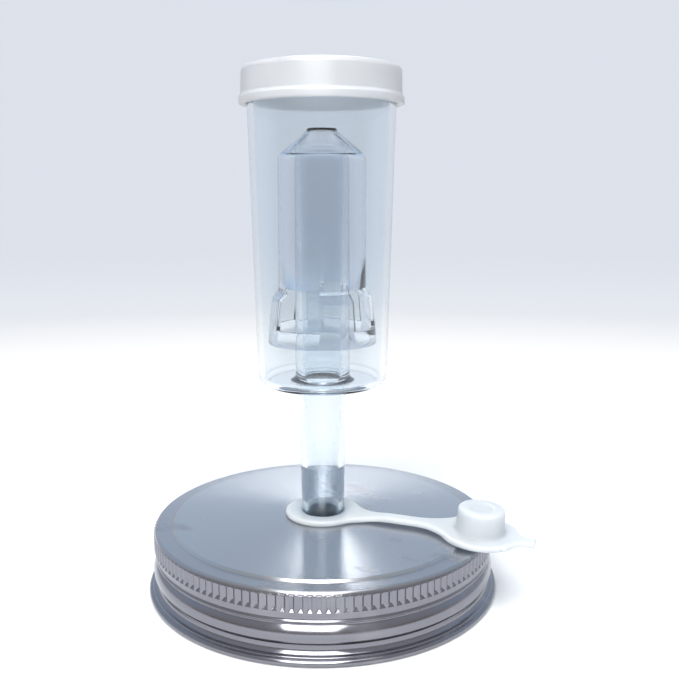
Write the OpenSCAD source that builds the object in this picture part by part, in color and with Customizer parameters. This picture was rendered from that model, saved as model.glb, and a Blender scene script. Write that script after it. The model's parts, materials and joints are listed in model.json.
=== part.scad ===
// Three-piece fermentation airlock standing in the grommet of a wide-mouth jar lid.
// Frame: +Z up, origin on the airlock's axis at the lower edge of the lid, which stands on z = 0.
// +X runs along the silicone strap, from the grommet out to the captive stopper.

/* [Jar lid] */
// Outer radius of the rolled bead at the lower edge
bead_r = 45.75; // [45.4:0.05:46.2]
// Height of the flat ring round the top
ring_z = 16.9; // [16.6:0.1:17.5]
// Height of the raised centre panel above that ring
panel_rise = 0.6; // [0.4:0.1:0.9]
// Radius of the centre panel
panel_r = 39.2; // [38.8:0.1:39.6]
// Radius of the grip flutes over their crests
knurl_r = 44.2; // [44.1:0.05:44.5]
// Number of grip flutes
knurl_count = 138; // [90:6:150]
// Thickness of the steel sheet
sheet = 0.5; // [0.4:0.05:0.6]

/* [Grommet and stopper] */
// Radius of the two silicone flanges
flange_r = 9.9; // [9.6:0.1:10.2]
// Thickness of the silicone flanges and strap
flange_t = 1.5; // [1.3:0.1:1.7]
// Distance between the centres of the two flanges
strap_span = 42; // [41.6:0.1:42.4]
// Half the width of the strap where it is narrowest
strap_half_w = 2.1; // [1.9:0.1:2.4]
// Radius of the stopper at its root
plug_r = 6.05; // [5.9:0.05:6.2]
// Height of the stopper above its flange
plug_h = 6.6; // [6:0.1:7]

/* [Airlock body] */
// Height of the underside of the cup
cup_z = 53.2; // [53:0.1:54]
// Height of the rim of the cup
rim_z = 130.2; // [130:0.1:130.4]
// Outer radius of the cup just above its rounded foot
cup_r = 16.5; // [16.4:0.05:16.6]
// Thickness of the cup's wall
cup_wall = 1.6; // [1.4:0.1:1.7]
// Height of the lower end of the stem
stem_z = 4; // [3:0.5:6]
// Height of the top of the riser tube
riser_z = 112.3; // [112.2:0.05:112.4]

/* [Floating bell] */
// Height of the bell's lower rim while it hangs on the riser tube
bell_z = 64.2; // [63.5:0.1:65]
// Outer radius of the bell's lower rim
bell_rim_r = 13.9; // [13.8:0.05:14]
// Outer radius of the bell's dome
bell_r = 10.95; // [10.9:0.05:11]
// Number of windows round the skirt
window_count = 4; // [3:1:5]

/* [Cap] */
// Outer radius of the cap's lower lip
lip_r = 20.2; // [20.1:0.05:20.4]
// Number of vent holes through the top of the cap
vent_count = 4; // [3:1:8]

/* [Hidden] */
fine = 96;

// Silicone stands on the centre panel
panel_z = ring_z + panel_rise;
flange_z = panel_z + flange_t;

// Lid
hole_r = 7.2;
skirt_r = 43.8;
shoulder_z = 9.9;
crease_r = 43.3;
ridge_r = 44.4;
valley_r = 43.2;
valley_z = [3, 3.8];
mouth_r = 44.1;
mouth_h = 1.9;
bead_h = 1.6;
corner_r = 0.9;
ridge_round = 1.4;
ridge_z = [5.6, 7.7];
crease_z = 9.4;
panel_step = 0.4;
knurl_z = [12.2, 15.7];
knurl_depth = 0.45;

// Lid gasket
gasket_r = [38.6, 42.6];
gasket_t = 1.6;

// Grommet, strap and stopper
hinge_x = strap_span / 2;
hinge_gap = 0.1;
strap_fillet = 13;
flange_edge = 0.45;
barb_z = [12.4, 14.6];
barb_r = [7.4, 8.9];
droop = 3;
droop_x = 30;
rest_gap = 0.05;
tab_end = 55.9;
tab_half_w = 2.1;
plug_taper = 0.3;
plug_edge = 1.1;
plug_sink = 0.4;
fit_gap = 0.05;

// Airlock body: one straight taper inside the stem and the riser tube
stem_r = [5.25, 6.13];
bore_r = [3.85, 5.6];
riser_r = [6.95, 6.75];
floor_t = 1.2;
cup_slope = 0.0256;
foot_r = 2.6;
riser_fillet = 1.4;
floor_z = cup_z + floor_t;

// Bell
bell_wall = 1;
cone_z = [110.4, 116.2];
cone_top_r = 3.7;
shoulder_r = 1.6;
hub_z = 117;
hub_t = 1.4;
step_z = 76.9;
step_r = 12.6;
window_z = [68.2, 78.2];
window_share = 0.57;
window_turn = -6.6;

// Cap
cap_r = 19.5;
cap_top_z = 131.4;
cap_edge = 1.3;
lip_z = [122.5, 124.3];
vent_r = 0.6;
vent_ring_r = 11;

// Radius of the stem or riser at height z, between the two ends given
function along(z, z0, z1, r0, r1) = r0 + (r1 - r0) * (z - z0) / (z1 - z0);
function stem_r_at(z) = along(z, stem_z, cup_z, stem_r[0], stem_r[1]);
function cup_r_at(z) = cup_r + cup_slope * (z - cup_z - foot_r);

// Underside of the strap: it arches off the panel and droops from droop_x on, over the panel's edge
function droop_z_at(x) = panel_z + rest_gap + (panel_r - x) * tan(droop);
arch_z = droop_z_at(droop_x);

// Points of a round corner about c, from angle a0 to a1 in degrees
function arc(c, r, a0, a1, n = 6) =
    [for (i = [0:n]) let (a = a0 + (a1 - a0) * i / n) c + r * [cos(a), sin(a)]];

// The outline moved sideways by t, to its right as it runs
function unit(v) = v / norm(v);
function side(a, b) = let (d = unit(b - a)) [d[1], -d[0]];
function corner_shift(p, i) =
    let (last = len(p) - 1,
         before = side(p[max(i - 1, 0)], p[max(i, 1)]),
         after = side(p[min(i, last - 1)], p[min(i + 1, last)]))
    (before + after) / (1 + before * after);
function beside(p, t) = [for (i = [0:len(p) - 1]) p[i] + t * corner_shift(p, i)];

// ---- Jar lid: one pressed sheet, rolled at its lower edge ----

lid_face = concat(
    [[hole_r, panel_z], [panel_r, panel_z], [panel_r + panel_step, ring_z]],
    arc([skirt_r - corner_r, ring_z - corner_r], corner_r, 90, 0),
    [[skirt_r, shoulder_z], [crease_r, crease_z]],
    arc([ridge_r - ridge_round, ridge_z[1]], ridge_round, 50, 0),
    [[ridge_r, ridge_z[0]], [valley_r, valley_z[1]], [valley_r, valley_z[0]]],
    [[mouth_r + sheet, mouth_h]]
);

module lid_sheet() {
    lid_inside = beside(lid_face, sheet);
    last = len(lid_face) - 1;
    inner = [for (i = [last:-1:0]) i == last ? [mouth_r, mouth_h] : lid_inside[i]];
    rotate_extrude($fn = fine) polygon(concat(lid_face, inner));
}

module lid_bead() {
    round_r = bead_h / 2;
    bead = concat(
        [[mouth_r, 0], [bead_r - round_r, 0]],
        arc([bead_r - round_r, round_r], round_r, -90, 90),
        [[mouth_r + sheet, mouth_h], [mouth_r, mouth_h]]
    );
    rotate_extrude($fn = fine) polygon(bead);
}

module grip_flutes() {
    pitch = 360 / knurl_count;
    crests = [for (i = [0:knurl_count - 1], k = [0:1])
        let (r = k == 0 ? knurl_r : knurl_r - knurl_depth, a = (i + k / 2) * pitch)
        r * [cos(a), sin(a)]];
    translate([0, 0, knurl_z[0]])
        linear_extrude(knurl_z[1] - knurl_z[0])
            difference() {
                polygon(crests);
                circle(r = skirt_r - sheet / 2, $fn = fine);
            }
}

module jar_lid() {
    color("lightsteelblue") {
        lid_sheet();
        lid_bead();
        grip_flutes();
    }
}

// ---- Gasket: flat ring pressed up against the inside of the lid's top ----

module lid_gasket() {
    top = ring_z - sheet;
    color("white")
        translate([0, 0, top - gasket_t])
            difference() {
                cylinder(r = gasket_r[1], h = gasket_t, $fn = fine);
                translate([0, 0, -1])
                    cylinder(r = gasket_r[0], h = gasket_t + 2, $fn = fine);
            }
}

// ---- Silicone moulding: grommet, strap and stopper ----

// Plan of the strap, with a round fillet into each flange
module strap_plan(x0, x1) {
    arc_y = strap_half_w + strap_fillet;
    arc_x = sqrt(pow(flange_r + strap_fillet, 2) - pow(arc_y, 2));
    reach = strap_fillet + flange_r;
    root = [flange_r * arc_x / reach, flange_r * arc_y / reach];
    tilt = atan2(root[1] - arc_y, root[0] - arc_x);
    flare = arc([arc_x, arc_y], strap_fillet, tilt, -90, 10);
    back = [for (p = flare) [strap_span - p[0], p[1]]];
    edge = concat(flare, [for (i = [len(back) - 1:-1:0]) back[i]]);
    intersection() {
        polygon(concat(edge, [for (i = [len(edge) - 1:-1:0]) [edge[i][0], -edge[i][1]]]));
        translate([x0, -flange_r])
            square([x1 - x0, 2 * flange_r]);
    }
}

// Side view of the strap and the stopper's flange: up off the panel, then down over the rim
module silicone_band() {
    under = [
        [0, panel_z],
        [flange_r + 1, panel_z],
        [hinge_x - 2, arch_z],
        [droop_x, arch_z],
        [tab_end + 1, droop_z_at(tab_end + 1)]
    ];
    over = [for (i = [len(under) - 1:-1:0]) under[i] + [0, flange_t]];
    rotate([90, 0, 0])
        translate([0, 0, -2 * flange_r])
            linear_extrude(4 * flange_r) polygon(concat(under, over));
}

// A disc with rounded edges, from z = 0 up
module soft_disc(r, t) {
    e = flange_edge;
    section = concat(
        [[0, 0]],
        arc([r - e, e], e, -90, 0, 4),
        arc([r - e, t - e], e, 0, 90, 4),
        [[0, t]]
    );
    rotate_extrude($fn = fine) polygon(section);
}

module grommet() {
    under = panel_z - sheet;
    color("whitesmoke")
        difference() {
            union() {
                translate([0, 0, panel_z])
                    soft_disc(flange_r, flange_t);
                translate([0, 0, barb_z[1]])
                    cylinder(r = hole_r, h = panel_z - barb_z[1] + 0.5, $fn = fine);
                translate([0, 0, barb_z[1]])
                    cylinder(r = barb_r[1], h = under - barb_z[1], $fn = fine);
                translate([0, 0, barb_z[0]])
                    cylinder(r1 = barb_r[0], r2 = barb_r[1], h = barb_z[1] - barb_z[0], $fn = fine);
                intersection() {
                    silicone_band();
                    linear_extrude(flange_z + 5) strap_plan(flange_r / 2, hinge_x - hinge_gap / 2);
                }
            }
            translate([0, 0, barb_z[0] - 1])
                cylinder(
                    r1 = stem_r_at(barb_z[0] - 1) + fit_gap,
                    r2 = stem_r_at(flange_z + 1) + fit_gap,
                    h = flange_z - barb_z[0] + 2,
                    $fn = fine
                );
        }
}

// The stopper stands square on its drooping flange
module plug() {
    section = concat(
        [[0, 0], [plug_r, 0]],
        arc([plug_r - plug_taper - plug_edge, plug_h - plug_edge], plug_edge, 0, 90, 5),
        [[0, plug_h]]
    );
    translate([strap_span, 0, droop_z_at(strap_span) + flange_t - plug_sink])
        rotate([0, droop, 0])
            rotate_extrude($fn = fine) polygon(section);
}

module stopper() {
    color("whitesmoke") {
        intersection() {
            silicone_band();
            linear_extrude(flange_z + 5)
                union() {
                    translate([strap_span, 0])
                        circle(r = flange_r, $fn = fine);
                    strap_plan(hinge_x + hinge_gap / 2, strap_span - flange_r / 2);
                    translate([strap_span, -tab_half_w])
                        square([tab_end - strap_span, 2 * tab_half_w]);
                }
        }
        plug();
    }
}

// ---- Airlock body: stem, cup and riser tube in one moulding ----

module airlock_body() {
    foot = [cup_r - foot_r, cup_z + foot_r];
    inner_foot = foot_r - floor_t;
    inner_r = cup_r - cup_wall;
    fillet = [along(floor_z, cup_z, riser_z, riser_r[0], riser_r[1]) + riser_fillet,
        floor_z + riser_fillet];
    section = concat(
        [[bore_r[0], stem_z], [stem_r[0], stem_z], [stem_r[1], cup_z]],
        arc(foot, foot_r, -90, 0, 8),
        [[cup_r_at(rim_z), rim_z], [cup_r_at(rim_z) - cup_wall, rim_z]],
        arc([inner_r - inner_foot, floor_z + inner_foot], inner_foot, 0, -90, 6),
        arc(fillet, riser_fillet, -90, -180, 6),
        [[riser_r[1], riser_z], [bore_r[1], riser_z]]
    );
    color("aliceblue")
        rotate_extrude($fn = fine) polygon(section);
}

// ---- Floating bell: domed tube with a windowed skirt ----

module bell_shell() {
    face = concat(
        [[0, hub_z], [cone_top_r, hub_z], [cone_top_r + 0.1, cone_z[1]]],
        arc([bell_r - shoulder_r, cone_z[0] - shoulder_r / 2], shoulder_r, 50, 0, 5),
        [[bell_r + 0.1, step_z + 0.6], [step_r, step_z], [bell_rim_r, bell_z]]
    );
    inside = beside(face, bell_wall);
    last = len(face) - 1;
    inner = [for (i = [last:-1:0])
        i == last ? [bell_rim_r - bell_wall, bell_z] : i == 0 ? [0, hub_z - hub_t] : inside[i]];
    rotate_extrude($fn = fine) polygon(concat(face, inner));
}

module bell() {
    color("lavender")
        difference() {
            bell_shell();
            for (i = [0:window_count - 1])
                rotate([0, 0, window_turn + i * 360 / window_count])
                    bell_window();
        }
}

// One window: a wedge cut through the skirt and the ledge above it
module bell_window() {
    reach = bell_rim_r + 2;
    half = window_share * 180 / window_count;
    translate([0, 0, window_z[0]])
        linear_extrude(window_z[1] - window_z[0])
            polygon([
                [step_r / 2, -step_r / 2 * tan(half)],
                [reach, -reach * tan(half)],
                [reach, reach * tan(half)],
                [step_r / 2, step_r / 2 * tan(half)]
            ]);
}

// ---- Cap: soft push-on lid with a flared lip and vent holes ----

// The socket is straight, as wide as the cup's rim, so that the cap lifts off freely
module cap_shell() {
    seat_r = cup_r_at(rim_z) + fit_gap;
    section = concat(
        [[0, cap_top_z]],
        arc([cap_r - cap_edge, cap_top_z - cap_edge], cap_edge, 90, 0, 6),
        [[cap_r + 0.15, lip_z[1] + 0.3], [lip_r, lip_z[1] - 0.3], [lip_r, lip_z[0]]],
        [[seat_r, lip_z[0]], [seat_r, rim_z], [0, rim_z]]
    );
    rotate_extrude($fn = fine) polygon(section);
}

module cap() {
    color("white")
        difference() {
            cap_shell();
            for (i = [0:vent_count - 1])
                rotate([0, 0, 45 + i * 360 / vent_count])
                    translate([vent_ring_r, 0, rim_z - 1])
                        cylinder(r = vent_r, h = 4, $fn = 24);
        }
}

jar_lid();
lid_gasket();
grommet();
stopper();
airlock_body();
bell();
cap();
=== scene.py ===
"""Looks of the airlock and its jar lid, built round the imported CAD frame.

Lengths are millimetres in the CAD frame, and MM turns them into Blender's metres.
"""
import json
from math import atan2, cos, hypot, pi, radians, sin, sqrt, tan

import bmesh
import bpy
from mathutils import Matrix, Vector


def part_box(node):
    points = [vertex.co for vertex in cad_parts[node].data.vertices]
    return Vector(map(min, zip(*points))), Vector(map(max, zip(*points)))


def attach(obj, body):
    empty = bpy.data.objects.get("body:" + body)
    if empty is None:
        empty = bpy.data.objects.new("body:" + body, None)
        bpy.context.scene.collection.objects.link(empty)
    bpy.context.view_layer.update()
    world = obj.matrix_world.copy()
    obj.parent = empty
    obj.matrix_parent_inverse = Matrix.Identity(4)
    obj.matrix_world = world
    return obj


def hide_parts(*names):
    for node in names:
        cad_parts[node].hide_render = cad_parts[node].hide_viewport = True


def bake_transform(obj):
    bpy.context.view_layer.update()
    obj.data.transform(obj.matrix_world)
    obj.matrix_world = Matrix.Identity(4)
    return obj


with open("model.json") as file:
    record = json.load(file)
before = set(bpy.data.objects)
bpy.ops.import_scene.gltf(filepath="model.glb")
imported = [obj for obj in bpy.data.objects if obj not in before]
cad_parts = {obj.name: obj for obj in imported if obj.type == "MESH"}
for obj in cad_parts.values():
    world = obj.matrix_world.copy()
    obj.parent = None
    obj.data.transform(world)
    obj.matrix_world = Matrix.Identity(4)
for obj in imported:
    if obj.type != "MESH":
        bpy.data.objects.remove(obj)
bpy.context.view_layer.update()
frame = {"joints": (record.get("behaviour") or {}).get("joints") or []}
MM = 0.001
BOXES = {}


def box_mm(node):
    """Lowest and highest corner of a CAD node, in millimetres, looked up once."""
    if node not in BOXES:
        BOXES[node] = [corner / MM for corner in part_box(node)]
    return BOXES[node]


# ---------------------------------------------------------------- camera

FOCAL_SHARE = 1.218       # focal length as a share of the frame's longer side
SENSOR = 36
CAMERA_CLIP = (0.01, 20)  # metres
CAMERA_AZIMUTH = 20.9     # the strap points this far towards the camera
CAMERA_BACK = 212.7
CAMERA_ASIDE = 4.36
CAMERA_Z = 102.1
CAMERA_PITCH = 10.475     # degrees below level


def make_camera():
    turn = radians(CAMERA_AZIMUTH)
    data = bpy.data.cameras.new("camera")
    data.sensor_width = SENSOR
    data.lens = SENSOR * FOCAL_SHARE
    data.clip_start, data.clip_end = CAMERA_CLIP
    camera = bpy.data.objects.new("camera", data)
    across = CAMERA_ASIDE * cos(turn) + CAMERA_BACK * sin(turn)
    along = CAMERA_ASIDE * sin(turn) - CAMERA_BACK * cos(turn)
    camera.location = Vector((across, along, CAMERA_Z)) * MM
    camera.rotation_euler = (radians(90 - CAMERA_PITCH), 0, turn)
    bpy.context.collection.objects.link(camera)
    bpy.context.scene.camera = camera


# ---------------------------------------------------------------- outlines

def arc(centre, r, start, end, steps=8):
    """Points (r, z) round a centre, from one angle to another in degrees."""
    turns = [radians(start + (end - start) * i / steps) for i in range(steps + 1)]
    return [(centre[0] + r * cos(a), centre[1] + r * sin(a)) for a in turns]


def between(value, a, b, low, high):
    """low at a, high at b, and straight in between and beyond."""
    return low + (high - low) * (value - a) / (b - a)


ALMOST_STRAIGHT = radians(89)   # half of a corner's angle, from which it isn't rounded


def rounded(points, radii, steps=5):
    """A closed outline with each corner rounded by its own radius; 0 keeps it sharp."""
    made = []
    for i, (corner, r) in enumerate(zip(points, radii)):
        here = Vector(corner)
        back = Vector(points[i - 1]) - here
        on = Vector(points[(i + 1) % len(points)]) - here
        half = back.angle(on) / 2
        if r <= 0 or half > ALMOST_STRAIGHT:
            made.append(tuple(here))
            continue
        cut = min(r / tan(half), 0.49 * back.length, 0.49 * on.length)
        first = here + back.normalized() * cut
        last = here + on.normalized() * cut
        for k in range(steps + 1):
            t = k / steps
            made.append(tuple(first.lerp(here, t).lerp(here.lerp(last, t), t)))
    return made


# ---------------------------------------------------------------- mesh helpers

def make_mesh(name, points, faces):
    """An object from points in millimetres, with its faces turned outwards."""
    mesh = bpy.data.meshes.new(name)
    mesh.from_pydata([Vector(p) * MM for p in points], [], faces)
    work = bmesh.new()
    work.from_mesh(mesh)
    bmesh.ops.recalc_face_normals(work, faces=work.faces)
    work.to_mesh(mesh)
    work.free()
    piece = bpy.data.objects.new(name, mesh)
    bpy.context.collection.objects.link(piece)
    return piece


def held(outline, closed=True, reach=0.12):
    """The outline with a point close to each end of its long stretches. Without them the
    smooth normals of a rounded corner spread along the flat wall and bend light in it."""
    made = []
    for i, point in enumerate(outline):
        made.append(point)
        if i + 1 == len(outline) and not closed:
            break
        here, on = Vector(point), Vector(outline[(i + 1) % len(outline)])
        length = (on - here).length
        if length > 6 * reach:
            made += [tuple(here.lerp(on, reach / length)), tuple(on.lerp(here, reach / length))]
    return made


def lathe(outline, steps=256, shape=None, skip=None):
    """Points and faces of a closed outline (r, z) turned round Z. shape(r, z, a) may move a
    point in or out, and skip(i, j) leaves out the face after outline point j at step i.
    An outline that comes with a skip has its support points already."""
    points, rings, faces = [], [], []
    if skip is None:
        outline = held(outline)
    for r, z in outline:
        if r < 1e-6:
            rings.append([len(points)] * steps)
            points.append((0, 0, z))
            continue
        rings.append(list(range(len(points), len(points) + steps)))
        for i in range(steps):
            a = 2 * pi * i / steps
            reach = shape(r, z, a) if shape else r
            points.append((reach * cos(a), reach * sin(a), z))
    for j, ring in enumerate(rings):
        other = rings[(j + 1) % len(rings)]
        for i in range(steps):
            k = (i + 1) % steps
            if skip and skip(i, j):
                continue
            corners = list(dict.fromkeys((ring[i], ring[k], other[k], other[i])))
            if len(corners) > 2:
                faces.append(corners)
    return points, faces


def smooth(piece, angle=35):
    """Smooth shading with edges sharper than the angle kept crisp."""
    piece.data.shade_smooth()
    piece.data.set_sharp_from_angle(angle=radians(angle))


def finish_piece(piece, material, slot, body, *nodes):
    """Gives a finished mesh its material and body, and hides the CAD nodes that it stands for."""
    piece.data.materials.clear()
    piece.data.materials.append(material)
    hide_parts(*nodes)
    if body:
        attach(piece, body)


# ---------------------------------------------------------------- materials

def set_stops(node, stops):
    """Gives a colour ramp its stops, each a place and a colour."""
    ends = node.color_ramp.elements
    while len(ends) < len(stops):
        ends.new(0.5)
    for end, (at, colour) in zip(ends, stops):
        end.position = at
        end.color = (*colour, 1)


class Nodes:
    """A material's node tree, with short calls to add and join nodes."""

    def __init__(self, name):
        self.material = bpy.data.materials.new(name)
        self.material.use_nodes = True
        self.tree = self.material.node_tree
        self.shader = self.tree.nodes["Principled BSDF"]
        self.place = self.add("ShaderNodeTexCoord").outputs["Object"]

    def add(self, kind, **settings):
        node = self.tree.nodes.new(kind)
        for key, value in settings.items():
            setattr(node, key, value)
        return node

    def join(self, source, target):
        self.tree.links.new(source, target)

    def set(self, **values):
        """Sets the shader's own sockets; Base_Color means the socket Base Color."""
        for key, value in values.items():
            self.shader.inputs[key.replace("_", " ")].default_value = value

    def math(self, operation, a, b=None):
        node = self.add("ShaderNodeMath", operation=operation)
        for socket, value in zip(node.inputs, (a, b)):
            if value is None:
                continue
            if isinstance(value, (int, float)):
                socket.default_value = value
            else:
                self.join(value, socket)
        return node.outputs[0]

    def noise(self, vector, scale, detail=3, roughness=0.5):
        node = self.add("ShaderNodeTexNoise")
        node.inputs["Scale"].default_value = scale
        node.inputs["Detail"].default_value = detail
        node.inputs["Roughness"].default_value = roughness
        self.join(vector, node.inputs["Vector"])
        return node.outputs["Fac"]

    def stretch(self, scale):
        node = self.add("ShaderNodeMapping")
        node.inputs["Scale"].default_value = scale
        self.join(self.place, node.inputs["Vector"])
        return node.outputs[0]

    def ramp(self, factor, *stops):
        node = self.add("ShaderNodeValToRGB")
        set_stops(node, stops)
        self.join(factor, node.inputs[0])
        return node.outputs[0]

    def scale(self, factor, low, high):
        """factor 0 to 1 turned into low to high."""
        node = self.add("ShaderNodeMapRange")
        node.inputs["To Min"].default_value = low
        node.inputs["To Max"].default_value = high
        self.join(factor, node.inputs[0])
        return node.outputs[0]

    def bump(self, height, strength, distance):
        node = self.add("ShaderNodeBump")
        node.inputs["Strength"].default_value = strength
        node.inputs["Distance"].default_value = distance * MM
        self.join(height, node.inputs["Height"])
        self.join(node.outputs[0], self.shader.inputs["Normal"])

    def parts(self):
        """X, Y and Z of the place on the object."""
        node = self.add("ShaderNodeSeparateXYZ")
        self.join(self.place, node.inputs[0])
        return node.outputs

    def radius(self):
        """Distance from the Z axis."""
        x, y, _ = self.parts()
        square = self.math("ADD", self.math("MULTIPLY", x, x), self.math("MULTIPLY", y, y))
        return self.math("SQRT", square)

    def rings(self, ring_scale, turn_scale):
        """A vector that runs outwards and round the Z axis, for ring-shaped grain."""
        x, y, z = self.parts()
        outwards = self.math("ADD", self.radius(), z)
        vector = self.add("ShaderNodeCombineXYZ")
        self.join(self.math("MULTIPLY", outwards, ring_scale), vector.inputs[0])
        self.join(self.math("MULTIPLY", self.math("ARCTAN2", y, x), turn_scale), vector.inputs[1])
        return vector.outputs[0]

    def mix(self, factor, first, second, **settings):
        """The first colour turned into the second; each a colour or a socket."""
        node = self.add("ShaderNodeMix", data_type="RGBA", **settings)
        for socket, value in zip((node.inputs[0], node.inputs[6], node.inputs[7]),
                (factor, first, second)):
            if isinstance(value, bpy.types.NodeSocket):
                self.join(value, socket)
            else:
                socket.default_value = value
        return node.outputs[2]


# Painted shade: the wall's steel is darker than the top's, to dim its reflections.
WALL_STEEL_PAINTED_SHADE = (0.23, 0.23, 0.255)
TOP_STEEL = (0.43, 0.445, 0.47)
SMUDGED_STEEL = (0.30, 0.30, 0.32, 1)
TOP_FROM = 16.4           # height from which the lid counts as its top
SATIN = 0.10              # roughness added by the top's brushing, and by a smudge


def steel():
    """Pressed stainless sheet, brushed in rings, with faint handling smudges. The top is
    paler and duller than the rolled wall, whose darker colour is painted shade that
    dims its reflections; the tone changes between 16 and 17.2 mm up."""
    n = Nodes("brushed_stainless")
    height = n.parts()[2]
    grain = n.noise(n.rings(9000, 1.2), 1, 4, 0.6)
    smudge = n.noise(n.stretch((38, 70, 40)), 1, 3, 0.55)
    patch = n.ramp(smudge, (0.62, (0, 0, 0)), (0.76, (1, 1, 1)))
    # painted shade: darker steel on the wall below 16 mm, the plain tone on the top
    tone_with_painted_shade = n.ramp(n.math("MULTIPLY", height, 1 / (20 * MM)), (0.80, WALL_STEEL_PAINTED_SHADE), (0.86, TOP_STEEL))
    n.join(n.mix(patch, tone_with_painted_shade, SMUDGED_STEEL), n.shader.inputs["Base Color"])
    top = n.math("GREATER_THAN", height, TOP_FROM * MM)
    rough = n.math("ADD", n.scale(grain, 0.11, 0.20), n.math("MULTIPLY", patch, SATIN))
    rough = n.math("ADD", rough, n.math("MULTIPLY", top, SATIN))
    n.join(rough, n.shader.inputs["Roughness"])
    n.bump(grain, 0.18, 0.02)
    tangent = n.add("ShaderNodeTangent", direction_type="RADIAL", axis="Z")
    n.join(tangent.outputs[0], n.shader.inputs["Tangent"])
    n.set(Metallic=1, Anisotropic=0.8, Anisotropic_Rotation=0.25)
    return n.material


def clear_styrene(name, tint):
    """Clear injection-moulded polystyrene with faint flow ripples."""
    n = Nodes(name)
    flow = n.noise(n.stretch((120, 120, 14)), 1, 2, 0.5)
    n.bump(flow, 0.12, 0.05)
    n.join(n.scale(flow, 0.0, 0.03), n.shader.inputs["Roughness"])
    n.set(Base_Color=(*tint, 1), Transmission_Weight=1, IOR=1.57)
    return n.material


def milky_plastic():
    """Soft milky polyethylene that lets blurred light through."""
    n = Nodes("milky_polyethylene")
    cloud = n.noise(n.place, 160, 3, 0.5)
    colour = n.ramp(cloud, (0.3, (0.90, 0.93, 0.95)), (0.7, (0.96, 0.97, 0.98)))
    n.join(colour, n.shader.inputs["Base Color"])
    n.join(n.scale(cloud, 0.26, 0.36), n.shader.inputs["Roughness"])
    n.bump(n.noise(n.place, 900, 2, 0.5), 0.05, 0.03)
    n.set(Transmission_Weight=0.68, IOR=1.5, Subsurface_Weight=0.8, Subsurface_Scale=0.002)
    n.set(Subsurface_Radius=(1, 1, 1))
    return n.material


MOTTLE = 0.12             # share of the silicone's cloudiness in its colour


def silicone(name, inner, outer):
    """Translucent silicone rubber, with one tone round the stem and another 9 mm out; the
    tone round the stem is painted shade, over the dark hole in the lid.
    """
    n = Nodes(name)
    mottle = n.noise(n.place, 220, 3, 0.55)
    out = n.math("MULTIPLY", n.radius(), 1 / (9 * MM))
    # painted shade: the inner colour darkens the rubber over the lid's hole, round the stem
    tone_with_painted_shade = n.ramp(out, (0.62, inner), (1.0, outer))
    cloud = n.ramp(mottle, (0.3, (0.8, 0.83, 0.85)), (0.7, (1, 1, 1)))
    tone_with_painted_shade = n.mix(MOTTLE, tone_with_painted_shade, cloud, blend_type="MULTIPLY")
    n.join(tone_with_painted_shade, n.shader.inputs["Base Color"])
    n.join(n.scale(mottle, 0.30, 0.44), n.shader.inputs["Roughness"])
    n.bump(n.noise(n.place, 1500, 2, 0.5), 0.06, 0.02)
    n.set(Subsurface_Weight=1, Subsurface_Scale=0.004, IOR=1.41)
    n.set(Subsurface_Radius=(1, 1, 1.1), Transmission_Weight=0.15)
    return n.material


# ---------------------------------------------------------------- jar lid

SHEET = 0.5
HOLE_R = 7.2
PANEL_R = 39.2
PANEL_RISE = 0.6
SKIRT_R = 43.8
MOUTH_R = 44.1
CREASE_R = 43.3
RIDGE_R = 44.4
VALLEY_R = 43.2
FLUTES = 138
FLUTE_STEPS = 10
FLUTE_CREST = 44.18
FLUTE_DEPTH = 0.5
FLUTE_SHARE = 0.36        # half of a groove's share of the pitch
FLUTE_LOW, FLUTE_HIGH = 12.15, 15.95
FLUTE_POWER = 1.6         # how square a groove's bottom is
LEDGE_SLOPE = 0.55        # how fast a groove deepens from its lower end
CROWN_SLOPE = 1.1         # and from its upper end
SKIRT_DIP = 0.27          # how hollow the skirt is under the flutes
GASKET_INSIDE = 38.6


def panel_top():
    """Height of the lid's centre panel, which the silicone stands on."""
    return box_mm("jar_lid")[1].z


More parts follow.
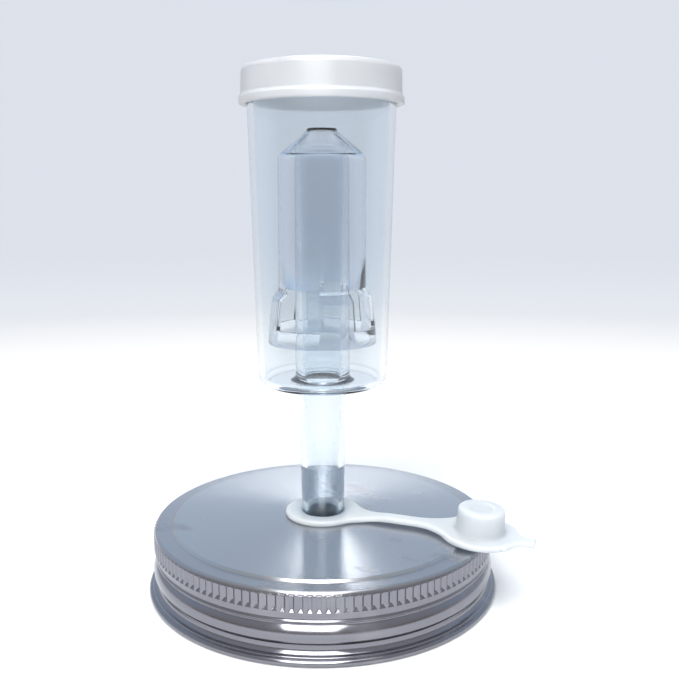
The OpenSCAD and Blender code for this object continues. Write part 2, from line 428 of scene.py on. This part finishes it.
def lid_outlines():
    """The sheet's outer and inner face, from the hole out and down to the rolled bead."""
    bead_r, panel_z = box_mm("jar_lid")[1].x, panel_top()
    ring_z = panel_z - PANEL_RISE
    roll = 0.8
    # Panel, its step and the flat ring
    outer = [(HOLE_R, panel_z)]
    outer += [(r, panel_z) for r in (9, 14, 20, 26, 32, 37)]
    outer += arc((PANEL_R - 0.3, panel_z - 0.3), 0.3, 90, 35, 4)
    outer += arc((PANEL_R + 0.55, ring_z + 0.25), 0.25, 215, 270, 4)
    outer += [(41, ring_z), (42.3, ring_z)]
    outer += arc((SKIRT_R - 0.75, ring_z - 0.9), 0.9, 90, 12, 8)
    # Grip band, with rows close together where the grooves end
    outer += [(FLUTE_CREST, z) for z in (15.9, 15.8, 15.65, 15.5, 15.3, 14.8, 14.2, 13.6, 13.3)]
    outer += [(FLUTE_CREST, 13.15 - 0.09 * k) for k in range(12)]
    # Hollow skirt, its small shoulder and the crease
    outer += [(SKIRT_R, 12.0), (SKIRT_R - 0.03, 11.6), (SKIRT_R - 0.12, 11.2)]
    outer += [(SKIRT_R - 0.23, 10.8), (SKIRT_R - SKIRT_DIP, 10.5), (SKIRT_R - 0.22, 10.3)]
    outer += [(SKIRT_R - 0.08, 10.05), (SKIRT_R + 0.06, 9.85), (SKIRT_R + 0.1, 9.7)]
    outer += [(SKIRT_R, 9.55), (CREASE_R + 0.1, 9.35), (CREASE_R, 9.15)]
    # Ridge, thread valley, flare and bead
    outer += arc((RIDGE_R - 3.2, 6.45), 3.2, 49, 0, 14)
    outer += arc((RIDGE_R - 1.25, 5.7), 1.2, 0, -38, 6)
    outer += arc((VALLEY_R + 0.6, 3.95), 0.6, 150, 180, 4)
    outer += [(VALLEY_R, 3.45)]
    outer += arc((VALLEY_R + 1.5, 3.4), 1.5, 180, 245, 10)
    outer += [(44.6, 1.98), (44.72, 1.9), (44.75, 1.72), (45.0, 1.66), (45.12, 1.58)]
    outer += arc((bead_r - roll, roll), roll, 75, -90, 14)
    outer += [(MOUTH_R + 0.2, 0), (MOUTH_R, 0.15)]
    # Back up the inside
    inner = [(MOUTH_R, 1.7), (VALLEY_R - SHEET + 0.2, 2.75), (VALLEY_R - SHEET, 3.0)]
    inner += [(VALLEY_R - SHEET, 3.8), (RIDGE_R - SHEET, 5.9), (RIDGE_R - SHEET, 7.6)]
    inner += [(RIDGE_R - 1.3, 8.3), (CREASE_R - SHEET, 9.0), (CREASE_R - SHEET, 9.6)]
    inner += [(SKIRT_R - SKIRT_DIP - SHEET, 10.5), (SKIRT_R - SHEET, 12)]
    inner += [(SKIRT_R - SHEET, ring_z - 1.0)]
    inner += arc((SKIRT_R - 0.95, ring_z - 0.95), 0.45, 0, 90, 5)
    inner += [(PANEL_R + 0.4, ring_z - SHEET), (PANEL_R - 0.1, panel_z - SHEET)]
    inner += [(HOLE_R, panel_z - SHEET)]
    return outer, inner


def flute(r, z, a):
    """Radius of the grip band: grooves that run out in a small ledge at their lower end."""
    if r < FLUTE_CREST - 1e-6 or not FLUTE_LOW - 0.1 < z < FLUTE_HIGH:
        return r
    phase = (a * FLUTES / (2 * pi)) % 1 - 0.5
    share = min(abs(phase) / FLUTE_SHARE, 1)
    groove = FLUTE_CREST - FLUTE_DEPTH * (1 - share ** FLUTE_POWER)
    ledge = FLUTE_CREST - max(z - FLUTE_LOW, 0) * LEDGE_SLOPE
    crown = FLUTE_CREST - max(FLUTE_HIGH - z, 0) * CROWN_SLOPE - 0.05
    return max(groove, ledge, crown)


def make_lid(material):
    outer, inner = lid_outlines()
    points, faces = lathe(outer + inner, FLUTES * FLUTE_STEPS, flute)
    piece = make_mesh("lid_shell", points, faces)
    smooth(piece, 50)
    finish_piece(piece, material, "stainless", "lid", "jar_lid")


def make_gasket(material):
    """Flat ring with soft edges and two raised sealing lines underneath."""
    low, high = box_mm("lid_gasket")
    inside, outside = GASKET_INSIDE, high.x
    middle = (inside + outside) / 2
    apart, line, edge = 0.9, 0.3, 0.2
    flat = low.z + line
    outline = [(inside, high.z - edge), (inside, flat + edge), (inside + edge, flat)]
    for centre in (middle - apart, middle + apart):
        outline += arc((centre, flat), line, 180, 360, 6)
    outline += [(outside - edge, flat), (outside, flat + edge)]
    outline += [(outside, high.z - edge), (outside - edge, high.z), (inside + edge, high.z)]
    points, faces = lathe(outline)
    piece = make_mesh("gasket_ring", points, faces)
    smooth(piece)
    finish_piece(piece, material, "gasket_silicone", "lid", "lid_gasket")


# ---------------------------------------------------------------- silicone moulding

FLANGE_R = 9.9
FLANGE_T = 1.5
NECK_GAP = 0.06           # between the grommet's bore and the stem
BARB_R = 8.9
BARB_TIP_R = 7.4
BARB_TOP = 14.6
STRAP_SPAN = 42
STRAP_HALF_W = 2.1
STRAP_FILLET = 13
DROOP = 3
DROOP_X = 30
REST_GAP = 0.05
STRAP_ROOT = 6.8          # the strap starts this far out from each flange's centre
STRAP_STEPS = 60
TAB_HALF_W = 2.1
TAB_FILLET = 1.6
TAB_FLARE = 0.32
PLUG_R = 6.05
PLUG_TAPER = 0.3
PLUG_H = 6.6
PLUG_SINK = 0.4           # how far the plug's foot is sunk in its flange
STEM_R = (5.25, 6.13)
VOXEL = 0.24
SILICONE_STEPS = 128


def stem_r(z):
    """Outer radius of the stem where it passes height z."""
    return between(z, box_mm("airlock_body")[0].z, CUP_Z, *STEM_R)


def droop_z(x):
    """Underside of the stopper's flange, which lies on the edge of the lid's panel."""
    return panel_top() + REST_GAP + (PANEL_R - x) * tan(radians(DROOP))


def strap_under(x):
    """Underside of the strap: flat at the grommet, arched in the middle, then drooping."""
    panel_z = panel_top()
    rise = min(max((x - FLANGE_R - 1) / (STRAP_SPAN / 2 - 3 - FLANGE_R), 0), 1)
    arch = panel_z + (droop_z(DROOP_X) - panel_z) * (rise * rise * (3 - 2 * rise))
    return arch if x < DROOP_X else droop_z(x)


def strap_half(x):
    """Half the strap's width at x: a narrow waist that flares into each flange."""
    arc_y = STRAP_HALF_W + STRAP_FILLET
    arc_x = sqrt((FLANGE_R + STRAP_FILLET) ** 2 - arc_y ** 2)
    off = max(arc_x - min(x, STRAP_SPAN - x), 0)
    return arc_y - sqrt(max(STRAP_FILLET ** 2 - off ** 2, 0))


def tab_half(x):
    """Half the pull tab's width: a fillet out of the flange, then parallel sides."""
    off = max(STRAP_SPAN + FLANGE_R + TAB_FILLET - x, 0)
    return TAB_HALF_W + TAB_FLARE * off * off


BAR_SIDES = 16
BAR_EDGE = 0.35           # radius of the bar's long edges
BAR_FLAT = 1.25           # over 1, it widens the flat top and underside


def loft(stations):
    """Points and faces of a bar from stations (x, half width, under z, top z)."""
    sides = BAR_SIDES
    points, faces = [], []
    for x, half, under, top in stations:
        for k in range(sides):
            a = 2 * pi * (k + 0.5) / sides
            across = max(-1, min(1, BAR_FLAT * cos(a)))
            up = max(-1, min(1, BAR_FLAT * sin(a)))
            y = (half - BAR_EDGE) * across + BAR_EDGE * cos(a)
            points.append((x, y, (under + top) / 2 + (top - under) / 2 * up))
    for i in range(len(stations) - 1):
        for k in range(sides):
            a, b = i * sides + k, i * sides + (k + 1) % sides
            faces.append((a, b, b + sides, a + sides))
    last = (len(stations) - 1) * sides
    faces.append(tuple(range(sides))[::-1])
    faces.append(tuple(range(last, last + sides)))
    return points, faces


def grommet_ring():
    """The grommet: flange on the panel, neck through the hole and barb below."""
    panel_z = panel_top()
    under = panel_z - SHEET
    low = box_mm("grommet")[0].z
    top = panel_z + FLANGE_T
    outline = [
        (stem_r(low) + NECK_GAP, low), (BARB_TIP_R, low),
        (BARB_R, BARB_TOP), (BARB_R, under - 0.02),
        (HOLE_R - 0.05, under - 0.02), (HOLE_R - 0.05, panel_z + 0.02),
        (FLANGE_R, panel_z + 0.02), (FLANGE_R, top), (7.3, top - 0.02),
        (stem_r(top) + 0.5, top - 0.12), (stem_r(top) + NECK_GAP, top - 0.3),
    ]
    radii = [0.2, 0.6, 0.5, 0.3, 0, 0, 0.45, 0.6, 0.5, 0.2, 0.1]
    return lathe(rounded(outline, radii), SILICONE_STEPS)


def tilted(points, pivot):
    """Points turned by the droop round a line through the pivot along Y."""
    turn = Matrix.Rotation(radians(DROOP), 3, "Y")
    return [tuple(turn @ Vector(p) + pivot) for p in points]


def stopper_solids():
    """The drooping flange, the plug that stands on it and the pull tab, as closed solids."""
    top = droop_z(STRAP_SPAN) + FLANGE_T
    pivot = Vector((STRAP_SPAN, 0, top))
    disc = [(0, -FLANGE_T), (FLANGE_R, -FLANGE_T), (FLANGE_R, 0), (0, 0)]
    points, faces = lathe(rounded(disc, [0, 0.45, 0.6, 0]), SILICONE_STEPS)
    yield tilted(points, pivot), faces
    height = PLUG_H - PLUG_SINK
    upper_r = PLUG_R - PLUG_TAPER
    plug = [
        (0, -0.5), (PLUG_R + 0.5, -0.5), (PLUG_R + 0.35, 0.05), (PLUG_R, 0.5),
        (upper_r, height), (3.2, height), (2.9, height - 0.25), (0, height - 0.3),
    ]
    points, faces = lathe(rounded(plug, [0, 0, 0.3, 0.4, 1.1, 0.3, 0.3, 0]), SILICONE_STEPS)
    yield tilted(points, pivot), faces
    end = box_mm("stopper")[1].x
    xs = [STRAP_SPAN + FLANGE_R - 2.6 + 0.3 * k for k in range(22)]
    xs = [x for x in xs if x < end - 0.3] + [end - 0.25]
    lip = [0.18 if x > end - 1.1 else 0 for x in xs]
    yield loft([
        (x, tab_half(x), droop_z(x) + 0.1 - up, droop_z(x) + FLANGE_T - 0.12 + up)
        for x, up in zip(xs, lip)
    ])


def strap_solid():
    reach = STRAP_SPAN - 2 * STRAP_ROOT
    xs = [STRAP_ROOT + reach * i / STRAP_STEPS for i in range(STRAP_STEPS + 1)]
    return loft([
        (x, strap_half(x), strap_under(x) + 0.03, strap_under(x) + FLANGE_T) for x in xs
    ])


def merge(solids):
    """One list of points and faces from several closed solids."""
    points, faces = [], []
    for some, joined in solids:
        base = len(points)
        points += some
        faces += [tuple(base + v for v in face) for face in joined]
    return points, faces


def apply_modifiers(piece):
    """Bakes a piece's modifiers into its mesh."""
    graph = bpy.context.evaluated_depsgraph_get()
    mesh = bpy.data.meshes.new_from_object(piece.evaluated_get(graph))
    piece.modifiers.clear()
    old, piece.data = piece.data, mesh
    bpy.data.meshes.remove(old)


def make_silicone(material):
    """Grommet, strap and stopper as one continuous moulding, like the real one."""
    solids = [grommet_ring(), strap_solid(), *stopper_solids()]
    piece = make_mesh("silicone_moulding", *merge(solids))
    remesh = piece.modifiers.new("union", "REMESH")
    remesh.mode = "VOXEL"
    remesh.voxel_size = VOXEL * MM
    soften = piece.modifiers.new("soften", "SMOOTH")
    soften.factor = 0.5
    soften.iterations = 5
    apply_modifiers(piece)
    seat_bore(piece)
    piece.data.shade_smooth()
    finish_piece(piece, material, "silicone", None, "grommet", "stopper")
    hinge = next(j for j in frame["joints"] if j["name"] == "stopper_fold")
    start = Vector(hinge["pos_m"])
    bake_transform(piece)


def seat_bore(piece):
    """Puts the bore's wall back on the stem's taper and the neck clear of the hole."""
    panel_z = panel_top()
    top = panel_z + FLANGE_T - 0.25
    for vertex in piece.data.vertices:
        x, y, z = vertex.co / MM
        reach = hypot(x, y)
        if reach < stem_r(z) + 0.35 and z < top:
            want = stem_r(z) + NECK_GAP
        elif panel_z - SHEET < z < panel_z and HOLE_R - 0.3 < reach < HOLE_R + 0.6:
            want = HOLE_R - 0.03
        else:
            continue
        vertex.co.x *= want / reach
        vertex.co.y *= want / reach


# ---------------------------------------------------------------- airlock body

CUP_Z = 53.2
FLOOR_T = 1.2
CUP_R = 16.5
CUP_WALL = 1.6
CUP_SLOPE = 0.0256
FOOT_R = 2.6
BORE_R = (3.85, 5.6)
RISER_R = (6.95, 6.75)
RISER_Z = 112.3
RISER_FILLET = 1.4
STEM_FILLET = 0.7
BODY_STEPS = 288


def cup_r(z):
    return CUP_R + CUP_SLOPE * (z - CUP_Z - FOOT_R)


def make_body(material):
    low, high = box_mm("airlock_body")
    floor_z = CUP_Z + FLOOR_T
    rim_r = cup_r(high.z)
    inner_foot = FOOT_R - FLOOR_T
    inner_r = CUP_R - CUP_WALL
    riser_foot = between(floor_z, CUP_Z, RISER_Z, *RISER_R)
    outline = arc((BORE_R[0] + 0.3, low.z + 0.3), 0.3, 180, 270, 4)
    outline += arc((STEM_R[0] - 0.3, low.z + 0.3), 0.3, 270, 360, 4)
    outline += arc((STEM_R[1] + STEM_FILLET, CUP_Z - STEM_FILLET), STEM_FILLET, 180, 90, 6)
    outline += arc((CUP_R - FOOT_R, CUP_Z + FOOT_R), FOOT_R, -90, 0, 16)
    outline += arc((rim_r - 0.4, high.z - 0.4), 0.4, 0, 90, 5)
    outline += arc((rim_r - CUP_WALL + 0.4, high.z - 0.4), 0.4, 90, 180, 5)
    outline += arc((inner_r - inner_foot, floor_z + inner_foot), inner_foot, 0, -90, 12)
    fillet = (riser_foot + RISER_FILLET, floor_z + RISER_FILLET)
    outline += arc(fillet, RISER_FILLET, -90, -180, 12)
    outline += arc((RISER_R[1] - 0.3, RISER_Z - 0.3), 0.3, 0, 90, 4)
    outline += arc((BORE_R[1] + 0.3, RISER_Z - 0.3), 0.3, 90, 180, 4)
    points, faces = lathe(outline, BODY_STEPS)
    piece = make_mesh("cup_and_stem", points, faces)
    smooth(piece, 40)
    finish_piece(piece, material, "clear_styrene", "airlock", "airlock_body")


# ---------------------------------------------------------------- bell

BELL_R = 10.95
BELL_WALL = 1
HUB_R = 3.7
HUB_T = 1.4
CONE_Z = (110.4, 116.2)
SHOULDER_R = 1.6
STEP_R = 12.75
STEP_Z = (77.6, 75.4)
WINDOWS = 4
WINDOW_ANGLE = 51
WINDOW_TURN = -6.6
WINDOW_Z = (68.2, 78.2)
WINDOW_BEVEL = 0.12
BELL_STEPS = 360


def bell_faces():
    """Outer and inner face of the bell, from the hub down to the rim."""
    low, high = box_mm("bell")
    rim_r, hub_z = high.x, high.z
    cone_end = (BELL_R - SHOULDER_R, CONE_Z[0] - SHOULDER_R / 2)
    outer = [(0, hub_z - 0.15), (1.2, hub_z - 0.15), (1.5, hub_z)]
    outer += arc((HUB_R - 0.25, hub_z - 0.25), 0.25, 90, 10, 4)
    outer += arc((HUB_R + 0.45, CONE_Z[1] + 0.25), 0.3, 185, 230, 4)
    outer += arc(cone_end, SHOULDER_R, 50, 0, 8)
    outer += [(BELL_R, 100), (BELL_R + 0.05, 88)]
    skirt = [(BELL_R + 0.1, WINDOW_Z[1]), (BELL_R + 0.2, STEP_Z[0])]
    skirt += [(12.2, 76.25), (12.62, 75.65), (STEP_R, STEP_Z[1])]
    skirt += [(between(z, STEP_Z[1], low.z, STEP_R, rim_r), z) for z in (72, WINDOW_Z[0])]
    rim = [(rim_r - 0.03, low.z + 0.4)]
    inner_rim = [(rim_r - BELL_WALL, low.z + 0.2)]
    inner_skirt = [(between(z, STEP_Z[1], low.z, STEP_R, rim_r) - BELL_WALL, z)
        for z in (WINDOW_Z[0], 72, STEP_Z[1] - 0.35)]
    inner_skirt += [(STEP_R - 1.5, STEP_Z[1] + 0.3), (BELL_R - 0.75, STEP_Z[0] - 0.75)]
    inner_skirt += [(BELL_R - BELL_WALL + 0.1, WINDOW_Z[1])]
    inner = [(BELL_R - BELL_WALL, 88)]
    inner += [(BELL_R - BELL_WALL, CONE_Z[0] - 1)]
    inner += arc((cone_end[0] - 0.2, cone_end[1]), 0.8, 0, 50, 5)
    inner += [(HUB_R, CONE_Z[1] - 1.2), (HUB_R - 0.6, hub_z - HUB_T), (0, hub_z - HUB_T)]
    return outer, skirt, rim, inner_rim, inner_skirt, inner


def make_bell(material):
    """The bell is a lathe with its windows left out, and walls round each opening."""
    low, high = box_mm("bell")
    outer, skirt, rim, inner_rim, inner_skirt, inner = [held(f, False) for f in bell_faces()]
    foot = [(high.x - 0.15, low.z + 0.1), (high.x - 0.3, low.z), (high.x - 0.75, low.z)]
    outline = outer + skirt + rim + foot + inner_rim + inner_skirt + inner
    first = len(outer)
    last = len(outer) + len(skirt) - 1
    inner_first = len(outline) - len(inner) - len(inner_skirt)
    inner_last = inner_first + len(inner_skirt) - 1
    step = 360 / BELL_STEPS

    def in_window(i):
        a = (i + 0.5) * step - WINDOW_TURN + WINDOW_ANGLE / 2
        return a % (360 / WINDOWS) < WINDOW_ANGLE

    def skip(i, j):
        return in_window(i) and (first <= j < last or inner_first <= j < inner_last)

    points, faces = lathe(outline, BELL_STEPS, None, skip)
    piece = make_mesh("floating_bell", points, faces)
    close_windows(piece)
    bevel = piece.modifiers.new("edges", "BEVEL")
    bevel.width = WINDOW_BEVEL * MM
    bevel.segments = 2
    bevel.limit_method = "ANGLE"
    bevel.angle_limit = radians(60)
    apply_modifiers(piece)
    smooth(piece, 40)
    finish_piece(piece, material, "bell_styrene", "bell", "bell")


def close_windows(piece):
    """Joins the outer and inner edge of each window with a wall as thick as the skirt."""
    work = bmesh.new()
    work.from_mesh(piece.data)
    edges = [e for e in work.edges if e.is_boundary]
    loops = []
    while edges:
        group, queue = set(), [edges[0]]
        while queue:
            edge = queue.pop()
            if edge in group:
                continue
            group.add(edge)
            queue += [e for v in edge.verts for e in v.link_edges if e.is_boundary]
        loops.append(list(group))
        edges = [e for e in edges if e not in group]

    def place(loop):
        middle = sum((v.co for e in loop for v in e.verts), Vector()) / (2 * len(loop))
        return atan2(middle.y, middle.x)

    loops.sort(key=place)
    for k in range(0, len(loops), 2):
        bmesh.ops.bridge_loops(work, edges=loops[k] + loops[k + 1])
    bmesh.ops.recalc_face_normals(work, faces=work.faces)
    work.to_mesh(piece.data)
    work.free()


# ---------------------------------------------------------------- cap

CAP_R = 19.5
LIP_TOP = 124.3
VENTS = 4
VENT_R = 0.6
VENT_RING = 11
VENT_TURN = 45
SEAT_GAP = 0.08           # between the cap's socket and the cup's rim
REST = 0.03               # between the cap's underside and the cup's rim


def make_cap(material):
    low, high = box_mm("cap")
    body_high = box_mm("airlock_body")[1].z
    outline = [(0, high.z - 0.25), (14.5, high.z - 0.25), (15.2, high.z - 0.05)]
    outline += arc((CAP_R - 1.3, high.z - 1.3), 1.3, 90, 0, 10)
    outline += arc((CAP_R + 0.55, LIP_TOP + 0.7), 0.4, 180, 225, 3)
    outline += arc((high.x - 0.35, LIP_TOP - 0.3), 0.35, 60, 0, 4)
    outline += arc((high.x - 0.3, low.z + 0.3), 0.3, 0, -90, 4)
    socket = cup_r(body_high) + SEAT_GAP
    outline += arc((socket + 0.3, low.z + 0.3), 0.3, 270, 180, 4)
    outline += [(socket, body_high - 0.4), (socket - 0.4, body_high + REST)]
    outline += [(0, body_high + REST)]
    points, faces = lathe(outline)
    piece = make_mesh("vent_cap", points, faces)
    pins = merge([vent_pin(i, high.z) for i in range(VENTS)])
    cutter = make_mesh("vent_pins", *pins)
    cut = piece.modifiers.new("vents", "BOOLEAN")
    cut.object = cutter
    cut.solver = "EXACT"
    apply_modifiers(piece)
    bpy.data.objects.remove(cutter)
    smooth(piece, 40)
    finish_piece(piece, material, "milky_cap", "cap", "cap")


def vent_pin(i, top):
    """A pin that cuts one vent hole."""
    a = radians(VENT_TURN + 360 * i / VENTS)
    pin = [(0, top + 1), (VENT_R, top + 1), (VENT_R, top - 3), (0, top - 3)]
    points, faces = lathe(pin, 24)
    return [(x + VENT_RING * cos(a), y + VENT_RING * sin(a), z) for x, y, z in points], faces


# ---------------------------------------------------------------- stage and light

FLOOR_R = 320
FLOOR_THICK = 2
FLOOR_STEPS = 128
FLOOR_SINK = 0.1          # the floor lies just under the lid's lower edge
FADE = (0.05, 0.16)       # metres behind the object; the floor fades out between them


def make_floor():
    """A white floor that fades into the background behind the object, and more slowly
    to its sides and in front."""
    slab = [(0, 0), (FLOOR_R, 0), (FLOOR_R, -FLOOR_THICK), (0, -FLOOR_THICK)]
    floor = make_mesh("floor", *lathe(slab, FLOOR_STEPS))
    floor.location.z = -FLOOR_SINK * MM
    n = Nodes("floor_white")
    turn = radians(CAMERA_AZIMUTH)
    behind = n.add("ShaderNodeVectorMath", operation="DOT_PRODUCT")
    behind.inputs[1].default_value = (-sin(turn), cos(turn), 0)
    n.join(n.place, behind.inputs[0])
    reach = n.math("MAXIMUM", n.math("MULTIPLY", n.radius(), 0.5), behind.outputs["Value"])
    speck = n.noise(n.place, 30, 3, 0.5)
    n.join(n.ramp(speck, (0.3, (0.81, 0.82, 0.83)), (0.7, (0.83, 0.84, 0.85))),
        n.shader.inputs["Base Color"])
    n.set(Roughness=0.7, Specular_IOR_Level=0.2)
    fade = n.add("ShaderNodeBsdfTransparent")
    mix = n.add("ShaderNodeMixShader")
    far = n.add("ShaderNodeMapRange", interpolation_type="SMOOTHSTEP")
    far.inputs["From Min"].default_value, far.inputs["From Max"].default_value = FADE
    n.join(reach, far.inputs[0])
    n.join(far.outputs[0], mix.inputs[0])
    n.join(n.shader.outputs[0], mix.inputs[1])
    n.join(fade.outputs[0], mix.inputs[2])
    n.join(mix.outputs[0], n.tree.nodes["Material Output"].inputs["Surface"])
    floor.data.materials.append(n.material)


# Colours of the room by height, from straight down (0) to straight up (1)
BACK_STOPS = [
    (0.0, (1.16, 1.16, 1.18)), (0.395, (1.15, 1.15, 1.17)), (0.410, (1.0, 1.01, 1.02)),
    (0.430, (0.80, 0.83, 0.88)), (0.465, (0.72, 0.755, 0.83)), (0.60, (0.72, 0.755, 0.83)),
    (0.67, (0.66, 0.80, 0.98)), (0.82, (0.60, 0.70, 0.84)), (1.0, (0.6, 0.62, 0.65)),
]
FRONT_STOPS = [
    (0.0, (0.30, 0.31, 0.36)), (0.40, (0.24, 0.23, 0.26)), (0.47, (0.20, 0.16, 0.15)),
    (0.53, (0.34, 0.28, 0.26)), (0.60, (0.55, 0.54, 0.56)), (0.80, (0.60, 0.62, 0.66)),
    (0.92, (0.6, 0.62, 0.65)), (1.0, (0.6, 0.62, 0.65)),
]


ROOM_TURNS = (-0.25, 0.45)   # the backdrop turns into the room behind the viewer here


def world_ramp(tree, factor, stops):
    ramp = tree.nodes.new("ShaderNodeValToRGB")
    tree.links.new(factor, ramp.inputs[0])
    set_stops(ramp, stops)
    return ramp.outputs[0]


def make_world():
    """A studio: pale backdrop over a white table, and a darker room behind the viewer."""
    world = bpy.data.worlds.new("studio")
    bpy.context.scene.world = world
    world.use_nodes = True
    tree = world.node_tree
    coords = tree.nodes.new("ShaderNodeTexCoord").outputs["Generated"]
    parts = tree.nodes.new("ShaderNodeSeparateXYZ")
    height = tree.nodes.new("ShaderNodeMapRange")
    height.inputs["From Min"].default_value = -1
    tree.links.new(coords, parts.inputs[0])
    tree.links.new(parts.outputs[2], height.inputs[0])
    side = tree.nodes.new("ShaderNodeVectorMath")
    side.operation = "DOT_PRODUCT"
    turn = radians(CAMERA_AZIMUTH)
    side.inputs[1].default_value = (sin(turn), -cos(turn), 0)
    tree.links.new(coords, side.inputs[0])
    share = tree.nodes.new("ShaderNodeMapRange")
    share.interpolation_type = "SMOOTHSTEP"
    share.inputs["From Min"].default_value, share.inputs["From Max"].default_value = ROOM_TURNS
    tree.links.new(side.outputs["Value"], share.inputs[0])
    mix = tree.nodes.new("ShaderNodeMix")
    mix.data_type = "RGBA"
    tree.links.new(share.outputs[0], mix.inputs[0])
    tree.links.new(world_ramp(tree, height.outputs[0], BACK_STOPS), mix.inputs[6])
    tree.links.new(world_ramp(tree, height.outputs[0], FRONT_STOPS), mix.inputs[7])
    tree.links.new(mix.outputs[2], tree.nodes["Background"].inputs[0])


LIGHTS_AIM = Vector((0, 0, 40))


def area_light(name, azimuth, elevation, distance, size, power):
    """A soft white light of the given width and height, aimed at one point of the object."""
    data = bpy.data.lights.new(name, "AREA")
    data.shape = "RECTANGLE"
    data.size, data.size_y = size[0] * MM, size[1] * MM
    data.energy = power
    light = bpy.data.objects.new(name, data)
    a, e = radians(azimuth), radians(elevation)
    back = Vector((sin(a) * cos(e), -cos(a) * cos(e), sin(e)))
    light.location = (LIGHTS_AIM + back * distance) * MM
    light.rotation_euler = back.to_track_quat("Z", "Y").to_euler()
    light.visible_camera = False
    light.visible_transmission = False
    bpy.context.collection.objects.link(light)


def make_lights():
    area_light("top_softbox", azimuth=20, elevation=82, distance=420,
        size=(300, 300), power=0.45)
    area_light("front_softbox", azimuth=14, elevation=46, distance=420,
        size=(240, 420), power=2.5)
    area_light("streak_light", azimuth=CAMERA_AZIMUTH + 180, elevation=38, distance=300,
        size=(50, 70), power=0.14)


def colour_settings():
    scene = bpy.context.scene
    scene.view_settings.view_transform = "Standard"
    scene.cycles.max_bounces = 32
    scene.cycles.transmission_bounces = 28
    scene.cycles.transparent_max_bounces = 16
    scene.cycles.sample_clamp_indirect = 4


# ---------------------------------------------------------------- the scene

make_camera()
# The first colour is painted shade round the stem, over the lid's hole.
rubber = silicone("translucent_silicone", (0.42, 0.50, 0.57), (0.58, 0.61, 0.63))
make_lid(steel())
make_gasket(silicone("gasket_silicone", (0.88, 0.89, 0.88), (0.88, 0.89, 0.88)))
make_silicone(rubber)
make_body(clear_styrene("clear_styrene", (0.88, 0.922, 0.952)))
make_bell(clear_styrene("bell_styrene", (0.98, 0.985, 1)))
make_cap(milky_plastic())
make_floor()
make_world()
make_lights()
colour_settings()
